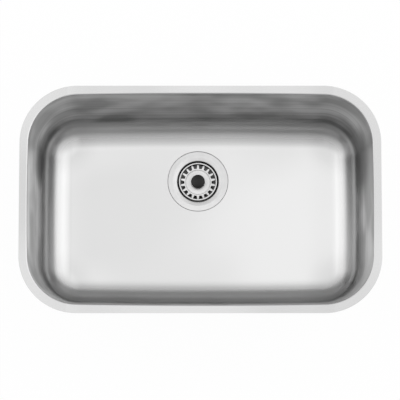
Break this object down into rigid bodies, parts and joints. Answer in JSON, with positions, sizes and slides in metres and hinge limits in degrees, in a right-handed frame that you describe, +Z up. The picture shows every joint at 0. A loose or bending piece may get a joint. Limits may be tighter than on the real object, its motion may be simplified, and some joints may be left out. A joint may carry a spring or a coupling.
{
  "type": "undermount kitchen sink",
  "caption": "Single-bowl stainless undermount kitchen sink with a flat rim, swept floor, and a lift-out basket strainer over a threaded waste outlet.",
  "frame": {"origin": "middle of the mouth, in the plane of the rim's top face, which meets the underside of the worktop", "axes": "+Z up, +X to the right along the long side, +Y away from the person at the sink, towards the waste side"},
  "size_m": [0.66, 0.418, 0.2948],
  "materials": {
    "satin_stainless": "satin drawn sheet",
    "polished_stainless": "bright polished pressing",
    "brass": "turned",
    "black_knob_plastic": "gloss moulded",
    "black_polypropylene": "matte moulded",
    "black_rubber": "moulded",
    "damping_rubber": "calendered sheet"
  },
  "bodies": {
    "sink": {"bowl": "satin_stainless", "strainer_dish": "polished_stainless", "centre_screw": "polished_stainless", "screw_insert": "brass", "waste_body": "black_polypropylene", "inlet_cap": "black_polypropylene", "flange_seal": "black_rubber", "body_seal": "black_rubber", "inlet_cap_seal": "black_rubber", "floor_pad_left": "damping_rubber", "floor_pad_right": "damping_rubber", "front_wall_pad": "damping_rubber", "back_wall_pad": "damping_rubber", "left_wall_pad": "damping_rubber", "right_wall_pad": "damping_rubber"},
    "plug": {"knob": "black_knob_plastic", "plug_stem": "black_polypropylene", "plug_seal": "black_rubber", "push_washer": "polished_stainless", "grip_sleeve": "black_rubber"},
    "strainer_basket": {"basket": "polished_stainless"}
  },
  "joints": [
    {"name": "basket_lift", "type": "slide", "parent": "sink", "child": "plug", "axis": [0, 0, 1], "range_m": [0, 0.25]},
    {"name": "basket_turn", "type": "hinge", "parent": "plug", "child": "strainer_basket", "pos_m": [-0.0045, 0.06322, -0.2117], "axis": [0, 0, 1], "continuous": true}
  ]
}
